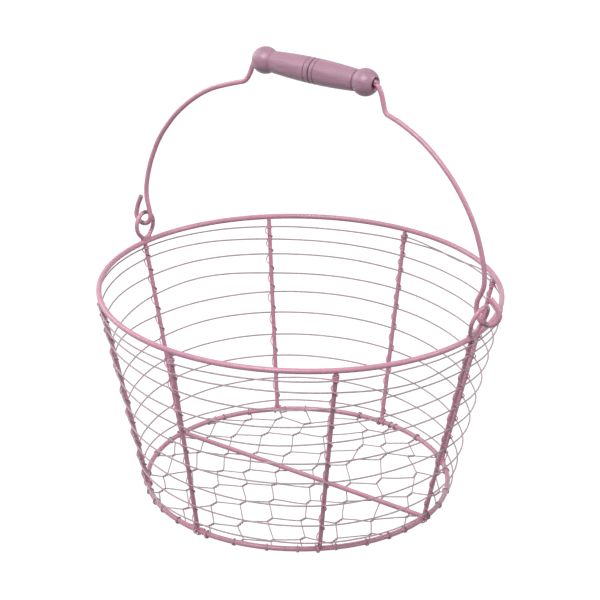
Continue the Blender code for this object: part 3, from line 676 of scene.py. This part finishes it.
# Both ends of the twists that show, in millimetres from the rings' axis: the net was pulled askew
NET_TWISTS = {
    (-2, 2): (-76.5, -61.0, -75.8, -55.4), (-2, 3): (-92.3, -31.1, -92.5, -27.5),
    (-1, 0): (-34.4, -90.0, -32.7, -84.9), (-1, 2): (-65.8, -41.3, -64.6, -36.2),
    (-1, 3): (-80.6, -16.9, -79.5, -13.2),
    (0, -1): (-4.7, -98.4, -4.1, -92.8), (0, 0): (-22.0, -74.1, -22.0, -66.7),
    (0, 1): (-36.5, -52.4, -37.0, -45.2), (0, 2): (-50.1, -31.0, -47.7, -26.4),
    (0, 3): (-62.1, -7.1, -61.7, -2.5), (0, 4): (-76.3, 18.9, -76.1, 25.7),
    (0, 5): (-84.2, 46.9, -82.1, 53.2),
    (1, -1): (10.7, -85.9, 9.6, -77.2), (1, 0): (-6.6, -60.2, -6.4, -52.9),
    (1, 1): (-21.7, -38.1, -21.7, -31.3), (1, 2): (-34.5, -20.5, -33.1, -13.0),
    (1, 3): (-47.3, 4.8, -45.6, 12.7), (1, 4): (-59.8, 34.5, -58.8, 42.8),
    (1, 5): (-67.2, 62.5, -65.9, 70.9),
    (2, -2): (42.1, -89.0, 42.3, -85.2), (2, -1): (23.3, -68.1, 23.4, -61.6),
    (2, 0): (7.7, -44.8, 8.0, -39.3), (2, 1): (-6.1, -23.8, -4.1, -18.7),
    (2, 2): (-15.4, -7.1, -15.1, -2.1), (2, 3): (-26.7, 18.4, -26.3, 28.1),
    (2, 4): (-41.1, 50.0, -39.5, 56.6), (2, 5): (-45.5, 69.8, -42.1, 75.4),
    (3, -2): (56.9, -75.3, 57.7, -69.7), (3, -1): (40.9, -53.4, 41.7, -47.7),
    (3, 0): (30.1, -31.7, 29.8, -25.3), (3, 1): (17.7, -10.3, 17.8, -3.4),
    (3, 2): (3.3, 13.3, 2.0, 22.3), (3, 3): (-7.1, 37.8, -6.0, 43.5),
    (3, 4): (-21.4, 61.5, -20.5, 66.7),
    (4, -2): (76.9, -66.3, 75.8, -57.2), (4, -1): (62.7, -41.2, 63.0, -32.8),
    (4, 0): (49.8, -14.0, 50.4, -9.6), (4, 1): (37.9, 6.6, 36.7, 14.6),
    (4, 2): (18.3, 34.7, 17.3, 45.4), (4, 3): (11.2, 59.6, 10.0, 69.9),
    (4, 4): (-1.9, 85.3, -1.2, 92.0),
    (5, -2): (90.7, -40.8, 90.5, -37.5), (5, -1): (80.6, -25.0, 80.4, -20.6),
    (5, 0): (68.4, 5.5, 67.5, 11.5), (5, 1): (53.1, 23.5, 50.8, 34.2),
    (5, 2): (33.2, 57.5, 32.0, 68.8),
    (6, -1): (96.8, -4.7, 97.5, -0.6), (6, 0): (81.4, 20.8, 80.8, 29.2),
    (6, 1): (69.0, 48.1, 66.4, 56.8), (6, 2): (47.0, 74.0, 50.6, 78.1),
}
# Where its ends are tied round the base ring, in degrees from +X, and how far they reach for it
TIES = (
    -128.8, -113.8, -103.3, -93.7, -77.0, -64.7, -53.6, -39.7, -27.8, -10.6,
    12.6, 65.3, 77.7, 91.3, 106.7, 117.7, 131.0, 142.0, 164.6,
)
TIE_REACH = 0.0065
TIE_TURNS = 1.3
TIE_STEPS = 16
TIE_START = radians(210)
TIE_PITCH = NET_WIRE * 1.15
TIE_SPACING = 0.0008
# Points left out at each end of a run, so that it bends gently into its tie
TIE_EASE = 2
AXIS = np.array((RINGS_AXIS_X, 0, 0))


def net_joint(i, j):
    """The middle of a twist in the even lattice, from the rings' axis."""
    across = np.array((NET_ACROSS / 2, NET_ALONG - NET_SKEW))
    back = np.array((-NET_ACROSS / 2, NET_ALONG + NET_SKEW))
    return NET_SHIFT + i * across + j * back


def measured_ends(i, j):
    """Both ends of a twist that shows in the photograph."""
    ends = np.array(NET_TWISTS[i, j]) * MILLIMETRE
    return ends[:2], ends[2:]


def twist_ends(i, j):
    """Both ends of a twist: measured, or shifted from the even lattice as its neighbours are."""
    if (i, j) in NET_TWISTS:
        return measured_ends(i, j)
    shift, weight = np.zeros(2), NET_REST
    for near in NET_TWISTS:
        away = np.linalg.norm(net_joint(*near) - net_joint(i, j))
        share = np.exp(-((away / NET_NEAR) ** 2))
        shift = shift + share * (sum(measured_ends(*near)) / 2 - net_joint(*near))
        weight = weight + share
    middle = net_joint(i, j) + shift / weight
    half = np.array((0, NET_TWIST / 2))
    return middle - half, middle + half


def twist_points(i, j, side):
    """One of the two wires through a twist, entering on this side and leaving on the other."""
    start, stop = twist_ends(i, j)
    along = (stop - start) / np.linalg.norm(stop - start)
    across = np.array((along[1], -along[0]))
    points = []
    for step in range(TWIST_STEPS + 1):
        share = step / TWIST_STEPS
        around = (pi if side < 0 else 0) - HALF_TURNS * pi * share
        place = start + share * (stop - start) + TWIST_RADIUS * cos(around) * across
        points.append((place[0], place[1], TWIST_RADIUS * sin(around)))
    return points


def spaced(line, spacing):
    """The same line with points along its long straights, so that its bends stay tight."""
    points = [np.array(line[0])]
    for point in line[1:]:
        last, point = points[-1], np.array(point)
        count = ceil(np.linalg.norm(point - last) / spacing)
        points += [last + (point - last) * i / count for i in range(1, count + 1)]
    return points


def net_lines():
    """Every wire of the net, edge to edge of the cloth, as (x, y, rise) from the rings' axis."""
    reach = ceil(2 * NET_RADIUS / min(NET_ACROSS / 2, NET_ALONG - NET_SKEW))
    lines = []
    for fixed in range(-reach, reach + 1):
        for side in (-1, 1):
            line = []
            for moving in range(-reach, reach + 1):
                i, j = (moving, fixed) if side < 0 else (fixed, moving)
                if np.linalg.norm(net_joint(i, j)) < NET_RADIUS + 2 * NET_ALONG:
                    line += twist_points(i, j, side)
            if line:
                lines.append(eased(spaced(line, NET_STRAIGHT), NET_SPACING))
    return lines


def tied_end(place, start_side):
    """From the net's edge under the base ring and round it, where the nearest tie is."""
    angle = atan2(place[1], place[0])
    nearest = min((radians(tie) for tie in TIES), key=lambda tie: abs(tie - angle))
    if abs(nearest - angle) * BASE_RADIUS < TIE_REACH:
        angle = nearest
    centre = polar(BASE_RADIUS, angle, BASE_LEVEL)
    out, side = directions(centre)
    radius = BASE_WIRE / 2 + NET_WIRE / 2
    path = []
    for step in range(round(TIE_TURNS * TIE_STEPS) + 1):
        turn = step / TIE_STEPS
        around = TIE_START + 2 * pi * turn
        shift = start_side * TIE_PITCH * turn
        path.append(centre + radius * (cos(around) * out + sin(around) * UP) + shift * side)
    return path


def inside_runs(line):
    """The stretches of a wire that lie inside the base ring."""
    runs = [[]]
    for point in line:
        if hypot(point[0], point[1]) < NET_RADIUS - NET_MARGIN:
            runs[-1].append(AXIS + point + NET_LEVEL * UP)
        elif runs[-1]:
            runs.append([])
    runs = [run for run in runs if len(run) > 2]
    return [run for run in runs if np.linalg.norm(run[-1] - run[0]) > NET_LEAST_RUN]


def net_paths():
    """The runs of the net's wires inside the base ring, with their ends tied round it."""
    paths = []
    for line in net_lines():
        for run in inside_runs(line):
            start, stop = tied_end(run[0] - AXIS, -1), tied_end(run[-1] - AXIS, 1)
            body = run[TIE_EASE:-TIE_EASE] if len(run) > 4 * TIE_EASE else run
            paths.append(rounded_ends(eased(start[::-1] + body + stop, TIE_SPACING), NET_WIRE))
    return paths


netting = drawn_wire(
    "netting", net_paths(), NET_WIRE, thin_paint, NET_SIDES,
    wander=NET_WANDER, wave=NET_WAVE, seed=NET_SEED,
)
fitted(netting, "basket", "thin_wire_paint", "base_netting")

# ------------------------------------------------------------
# Ears: 3 mm wire bent into closed drops and welded on top of the rim, over two of the uprights.
# The right one has been pulled outwards. Under their tops the hooks have rubbed the paint off, with
# painted shade where they touch.
EAR_WIRE = 0.0030
EAR_WIDTH = 0.0184
EAR_FOOT_WIDTH = 0.0130
EAR_SINK = 0.0006
# Each ear's side, height, lean out, shift along the rim and reach of its rubbed place with painted
# shade
EARS = {
    "right": (1, 0.0217, radians(19), -0.0006, 0.0034),
    "left": (-1, 0.0190, radians(3.5), 0.0013, 0.0048),
}
EAR_TOP_STEPS = 58
EAR_FOOT_STEPS = 19
EAR_SPACING = 0.0009
EAR_SIDES = 18
# The weld bead along the rim under each ear, and the ripples that the torch left in it
WELD_LENGTH = 0.0088
WELD_WIDTH = 0.0030
WELD_RISE = 0.0018
WELD_LEAST = 0.02
WELD_RIPPLE = 0.12
WELD_RIPPLES = 9
WELD_WANDER = 0.0004
WELD_WAVE = 0.003
WELD_STEPS = 24
WELD_SIDES = 16


def ear_outline(height):
    """The loop's wire centre, as (along the rim, above the rim's wire centre)."""
    upper, lower = EAR_WIDTH / 2, EAR_FOOT_WIDTH / 2
    seat = RIM_WIRE / 2 + EAR_WIRE / 2 - EAR_SINK
    high = seat + EAR_SINK + height - upper
    low = seat + lower
    slant = asin((upper - lower) / (high - low))
    top = (upper, high, -slant, pi + 2 * slant, EAR_TOP_STEPS)
    foot = (lower, low, pi + slant, pi - 2 * slant, EAR_FOOT_STEPS)
    outline = []
    for radius, level, start, sweep, steps in (top, foot):
        for angle in (start + sweep * i / steps for i in range(steps + 1)):
            outline.append((radius * cos(angle), level + radius * sin(angle)))
    return outline


def weld_bead(side, shift):
    """A lens of weld along the rim, with the share of thickness at each point."""
    bead = []
    for step in range(WELD_STEPS + 1):
        share = 2 * step / WELD_STEPS - 1
        angle = (0 if side > 0 else pi) + side * (shift + share * WELD_LENGTH / 2) / RIM_RADIUS
        ripple = 1 + WELD_RIPPLE * sin(WELD_RIPPLES * share + side)
        width = sqrt(max(WELD_LEAST, 1 - share**2)) * ripple
        bead.append((*oval(RIM_RADIUS, angle, RIM_LEVEL + WELD_RISE), width))
    return bead


for name, (side, height, lean, shift, rubbed) in EARS.items():
    seat = np.array((RINGS_AXIS_X + side * RIM_RADIUS * (1 + RIM_OVAL_SHARE), shift, RIM_LEVEL))
    upwards = np.array((side * sin(lean), 0, cos(lean)))
    along = np.array((0, 1, 0))
    path = [seat + reach * along + rise * upwards for reach, rise in ear_outline(height)]
    loop = eased(path + [path[0]], EAR_SPACING)[:-1]
    worn = [(seat + (height + RIM_WIRE / 2) * upwards, rubbed)]
    paint = wire_paint(f"enamel_rubbed_by_the_{name}_hook", PAINT, worn=worn)
    ear = drawn_wire(f"ear_loop_{name}", [loop], EAR_WIRE, paint, EAR_SIDES, closed=True)
    fitted(ear, "basket", "wire_paint", f"ear_{name}")
    weld = drawn_wire(
        f"ear_weld_{name}", [weld_bead(side, shift)], WELD_WIDTH, thick_paint, WELD_SIDES,
        wander=WELD_WANDER, wave=WELD_WAVE, seed=side + 2,
    )
    fitted(weld, "basket", "wire_paint")

# ------------------------------------------------------------
# Bail: 3.4 mm spring wire bent by hand, so its sides differ. Each end hooks through an ear and
# turns back up, and steps lead from the shoulders into the grip.
BAIL_WIRE = 0.0034
HINGE_LEVEL = 0.1639
HINGE_SHIFT = 0.0020
BAIL_LEAN = radians(3.6)
BAIL_HALF_SPAN = 0.1440
BAIL_HEIGHT = 0.1434
GRIP_SHIFT = 0.0020
GRIP_LENGTH = 0.0992
BAIL_SPACING = 0.0014
BAIL_SIDES = 20
# How far the steel shows at the left end's cut, and where the hooks rub on the ears
CUT_REACH = 0.0024
HOOK_RUBBED_REACH = 0.0045
# Each hook: its inner limb past the rim, width, depth below the hinge, tip's height and turn in
LEFT_HOOK = (-0.0026, 0.0134, 0.0, 0.0191, 0.0036)
RIGHT_HOOK = (0.0018, 0.0180, 0.0027, 0.0154, 0.0069)
HOOK_STEPS = 16
# The sides from hook to shoulder, as shares of the half span and of the height
LEFT_SIDE = (
    (0.961, 0.074), (0.980, 0.134), (0.986, 0.185), (0.982, 0.239), (0.967, 0.316),
    (0.943, 0.392), (0.912, 0.465), (0.864, 0.543), (0.793, 0.632), (0.695, 0.720),
    (0.593, 0.785), (0.477, 0.832),
)
RIGHT_SIDE = (
    (0.986, 0.082), (0.997, 0.109), (1.010, 0.143), (1.015, 0.176), (1.012, 0.218),
    (1.003, 0.263), (0.986, 0.318), (0.958, 0.393), (0.923, 0.463), (0.873, 0.540),
    (0.804, 0.624), (0.710, 0.711), (0.617, 0.777), (0.509, 0.830),
)
# The steps up into the grip, as shares of their run past its end and of their drop
STEP_DROP = 0.0213
STEP_RUN = 0.0120
LEFT_STEP = (
    (1.07, 0.00), (0.79, 0.06), (0.56, 0.18), (0.36, 0.40), (0.22, 0.64),
    (0.04, 0.86), (-0.20, 0.95), (-0.60, 1.00),
)
RIGHT_STEP = (
    (1.07, 0.00), (0.82, 0.06), (0.68, 0.18), (0.56, 0.40), (0.40, 0.66),
    (0.18, 0.85), (-0.12, 0.94), (-0.60, 1.00),
)


def bail_point(x, rise):
    """From the bail's own plane to the basket's frame: it leans back by a few degrees."""
    hinge = np.array((RINGS_AXIS_X, HINGE_SHIFT, HINGE_LEVEL))
    return hinge + np.array((x, rise * sin(BAIL_LEAN), rise * cos(BAIL_LEAN)))


def hook_points(overhang, width, depth, tip_height, tip_turn):
    """From the inner limb round under the ear's wire and up to the tip, outside the ear."""
    radius = width / 2
    middle = RIM_RADIUS + overhang + radius
    outer = middle + radius
    points = []
    for i in range(HOOK_STEPS + 1):
        angle = pi + pi * i / HOOK_STEPS
        points.append((middle + radius * cos(angle), radius + radius * sin(angle) - depth))
    points.append((outer - tip_turn / 3, (radius - depth + tip_height) / 2))
    points.append((outer - tip_turn, tip_height))
    return points


def hook_bottom(side, hook):
    """Where a hook's bend is lowest, and the ear rubs it."""
    overhang, width, depth = hook[:3]
    return bail_point(side * (RIM_RADIUS + overhang + width / 2), -depth)


def bail_side(hook, limb_shares, step_shares, side):
    """One side of the bail, from its hook's tip to the straight in the grip."""
    bend = hook_points(*hook)[::-1]
    limb = [(x * BAIL_HALF_SPAN, z * BAIL_HEIGHT) for x, z in limb_shares]
    end = GRIP_LENGTH / 2 + side * GRIP_SHIFT
    step = [
        (end + run * STEP_RUN, BAIL_HEIGHT - STEP_DROP * (1 - rise)) for run, rise in step_shares
    ]
    return [bail_point(side * x, z) for x, z in bend + limb + step]


left = bail_side(LEFT_HOOK, LEFT_SIDE, LEFT_STEP, -1)
right = bail_side(RIGHT_HOOK, RIGHT_SIDE, RIGHT_STEP, 1)
bail_path = rounded_ends(eased(left + right[::-1], BAIL_SPACING), BAIL_WIRE)
worn = [
    (hook_bottom(-1, LEFT_HOOK), HOOK_RUBBED_REACH),
    (hook_bottom(1, RIGHT_HOOK), HOOK_RUBBED_REACH),
    (left[0], CUT_REACH),
]
rubbed_paint = wire_paint("enamel_rubbed_in_the_hooks", PAINT, worn=worn)
bail = drawn_wire("bail", [bail_path], BAIL_WIRE, rubbed_paint, BAIL_SIDES)
fitted(bail, "bail", "wire_paint", "bail_wire")

# ------------------------------------------------------------
# Grip: hardwood turned on a lathe with a ball at each end, three fine grooves at the middle and
# a bore for the bail, then painted with the wire. The grain shows through as fine lines.
BALL_DIAMETER = 0.0190
BODY_DIAMETER = 0.0180
NECK_DIAMETER = 0.0148
# How soon the body swells from its necks: 1 is a plain arch
BODY_FULLNESS = 0.8
BORE_DIAMETER = 0.0080
BORE_OFFSET = 0.0020
MOUTH_DIAMETER = 0.0095
MOUTH_DEPTH = 0.0030
# The grooves' places from the middle, depths and widths
GROOVES = ((-0.0043, 0.00055, 0.0009), (0.0, 0.0009, 0.0012), (0.0034, 0.00055, 0.0009))
GROOVE_SPREAD = 0.42
BALL_GROOVE_DEPTH = 0.00060
BALL_GROOVE_WIDTH = 0.0007
# Points along a ball, the groove by it, half the body, the grooves at the middle and the bore
BALL_POINTS = 25
BALL_GROOVE_POINTS = 14
BODY_POINTS = 48
MIDDLE_POINTS = 121
BORE_POINTS = 30
BALL_GROOVE_REACH = 0.002
MIDDLE_REACH = 0.006
GRIP_SEGMENTS = 72
GRIP_PINK = "B3859A"
GRIP_LILAC = "A07688"
GRIP_DARK = "704C5B"
# Painted shade for the grooves
GROOVE_PAINTED_SHADE = "4E3440"
GRIP_SHEEN = 0.8
GRIP_ROUGHNESS = (0.30, 0.46)
GRAIN_SIZE = 0.0011
GRAIN_STRETCH = (0.06, 1, 1)
GRAIN_NOISE = (0.42, 0.66)
PORE_SIZE = 0.0008
PORE_NOISE = (0.60, 0.74)
PORE_SHARE = 0.8
GRAIN_DEPTH = 0.00012
# The depths of a groove at which the painted shade starts and at which it is darkest
GROOVE_SHADE_DEPTHS = (0.00015, 0.00050)
GROOVE_SHADE_SHARE = 0.85


def turned_outside():
    """(place along the grip, radius, depth of a groove there) from the right mouth to the left."""
    ball, neck, body = BALL_DIAMETER / 2, NECK_DIAMETER / 2, BODY_DIAMETER / 2
    mouth = MOUTH_DIAMETER / 2
    centre = GRIP_LENGTH / 2 - sqrt(ball**2 - mouth**2)
    start, stop = asin(mouth / ball), pi - asin((neck - BALL_GROOVE_DEPTH) / ball)
    angles = np.linspace(start, stop, BALL_POINTS)
    right = [(centre + ball * cos(angle), ball * sin(angle), 0.0) for angle in angles]
    end = right[-1][0]
    near = end - BALL_GROOVE_REACH
    places = [
        *np.linspace(end, near, BALL_GROOVE_POINTS)[1:],
        *np.linspace(near, MIDDLE_REACH, BODY_POINTS)[1:],
        *np.linspace(MIDDLE_REACH, -MIDDLE_REACH, MIDDLE_POINTS)[1:-1],
        *np.linspace(-MIDDLE_REACH, -near, BODY_POINTS),
        *np.linspace(-near, -end, BALL_GROOVE_POINTS)[1:-1],
    ]
    outside = list(right)
    for place in places:
        radius = neck + (body - neck) * cos(pi / 2 * place / end) ** BODY_FULLNESS
        away = (end - abs(place)) / BALL_GROOVE_WIDTH
        deep = BALL_GROOVE_DEPTH * np.exp(-(away**2))
        for middle, depth, width in GROOVES:
            away = (place - middle) / (width * GROOVE_SPREAD)
            deep += depth * np.exp(-(away**2))
        outside.append((place, radius - deep, deep))
    return outside + [(-x, r, deep) for x, r, deep in reversed(right)]


def turned_grip():
    """The outside and the bore as one closed outline, turned round the bail's wire."""
    inside = GRIP_LENGTH / 2 - MOUTH_DEPTH
    bore = [(x, BORE_DIAMETER / 2, 0.0) for x in np.linspace(-inside, inside, BORE_POINTS)]
    loop = turned_outside() + bore
    count = len(loop)
    centre = bail_point(GRIP_SHIFT, BAIL_HEIGHT - BORE_OFFSET)
    verts, faces = [], []
    for around in turns(GRIP_SEGMENTS):
        for x, r, _ in loop:
            verts.append(tuple(centre + np.array((x, r * cos(around), r * sin(around)))))
    for k in range(GRIP_SEGMENTS):
        after = (k + 1) % GRIP_SEGMENTS
        for i in range(count):
            j = (i + 1) % count
            faces.append((k * count + i, k * count + j, after * count + j, after * count + i))
    mesh = bpy.data.meshes.new("turned_grip")
    mesh.from_pydata(verts, [], faces)
    depths = mesh.attributes.new("groove", "FLOAT", "POINT")
    depths.data.foreach_set("value", [deep for _, _, deep in loop] * GRIP_SEGMENTS)
    mesh.shade_smooth()
    return placed("turned_grip", mesh)


def painted_wood():
    """Thin enamel on a close-grained hardwood: grain lines along X, dark pores, and painted shade
    in the grooves.
    """
    material, tree, shader = shaded("painted_turned_hardwood")
    place = add(tree, "ShaderNodeTexCoord").outputs["Object"]
    stretched = {"Vector": place, "Scale": GRAIN_STRETCH}
    stretched = add(tree, "ShaderNodeMapping", stretched).outputs[0]
    grain = noise(tree, stretched, GRAIN_SIZE, 4.0, 0.6)
    coat = covered(tree, linear(GRIP_PINK), GRIP_LILAC, ranged(tree, grain, *GRAIN_NOISE))
    pores = noise(tree, place, PORE_SIZE, 2.0, 0.7)
    pores = ranged(tree, pores, *PORE_NOISE, end=PORE_SHARE)
    coat = covered(tree, coat, GRIP_DARK, pores)
    # Painted shade in the grooves, darker the deeper they are
    groove = add(tree, "ShaderNodeAttribute", attribute_name="groove").outputs["Fac"]
    coat = covered(tree, coat, GROOVE_PAINTED_SHADE, ranged(tree, groove, *GROOVE_SHADE_DEPTHS, end=GROOVE_SHADE_SHARE))
    relief = worked_out(tree, "SUBTRACT", grain, pores)
    gloss = ranged(tree, grain, *GLOSS_NOISE, *GRIP_ROUGHNESS)
    surfaced(tree, shader, coat, gloss, relief, GRAIN_DEPTH)
    shader.inputs["Specular IOR Level"].default_value = GRIP_SHEEN
    return material


grip = turned_grip()
grip.data.materials.append(painted_wood())
fitted(grip, "grip", "grip_paint", "grip")

# ------------------------------------------------------------
# Studio: a floor and a surround that show white, a large soft light above and in front, and
# three weak ones that fill from the front left and from both sides.
FLOOR_COLOUR = "6C6A6C"
FLOOR_REACH = 6
WHITE = (1, 1, 1, 1)
SURROUND_LIGHT = 0.12
SURROUND_SHOWN = 1.0
LIGHT_AIM = Vector((0, 0, 0.12))
# Each light's name, place, size and power in watts
LIGHTS = (
    ("top_light", (0.30, -1.30, 1.95), 1.20, 38),
    ("front_light", (-0.75, -0.95, 1.20), 0.7, 2.5),
    ("left_light", (-1.5, -0.1, 0.9), 1.0, 7.5),
    ("right_light", (1.2, 0.6, 1.1), 0.8, 8),
)


def shown_rays(tree):
    """One for the rays that see the background itself, straight, reflected or through glass."""
    ray = add(tree, "ShaderNodeLightPath").outputs
    seen = worked_out(tree, "MAXIMUM", ray["Is Camera Ray"], ray["Is Glossy Ray"])
    return worked_out(tree, "MAXIMUM", seen, ray["Is Transmission Ray"])


def emptied(owner):
    """The node tree of a material or a world, with nothing in it."""
    owner.use_nodes = True
    owner.node_tree.nodes.clear()
    return owner.node_tree


def lay_floor():
    """Pale paper that catches a little light and shows as white as the surround."""
    mesh = bpy.data.meshes.new("floor")
    near, far = -FLOOR_REACH, FLOOR_REACH
    corners = [(near, near, 0), (far, near, 0), (far, far, 0), (near, far, 0)]
    mesh.from_pydata(corners, [], [(0, 1, 2, 3)])
    material = bpy.data.materials.new("pale_paper")
    tree = emptied(material)
    paper = add(tree, "ShaderNodeBsdfDiffuse", {"Color": linear(FLOOR_COLOUR)}).outputs[0]
    white = {"Color": WHITE, "Strength": shown_rays(tree)}
    white = add(tree, "ShaderNodeEmission", white).outputs[0]
    both = add(tree, "ShaderNodeAddShader", {0: paper, 1: white}).outputs[0]
    add(tree, "ShaderNodeOutputMaterial", {"Surface": both})
    mesh.materials.append(material)
    placed("floor", mesh)


def hang_surround():
    """White where it is seen, and dim as a light."""
    bpy.context.scene.world = bpy.data.worlds.new("studio")
    tree = emptied(bpy.context.scene.world)
    seen = {0: shown_rays(tree)}
    for socket, strength in ((1, SURROUND_LIGHT), (2, SURROUND_SHOWN)):
        light = {"Color": WHITE, "Strength": strength}
        seen[socket] = add(tree, "ShaderNodeBackground", light).outputs[0]
    seen = add(tree, "ShaderNodeMixShader", seen).outputs[0]
    add(tree, "ShaderNodeOutputWorld", {"Surface": seen})


lay_floor()
hang_surround()
for name, place, size, power in LIGHTS:
    light = placed(name, bpy.data.lights.new(name, "AREA"))
    light.data.size = size
    light.data.energy = power
    light.location = place
    light.rotation_euler = (LIGHT_AIM - Vector(place)).to_track_quat("-Z", "Y").to_euler()
bpy.context.scene.view_settings.view_transform = "Standard"
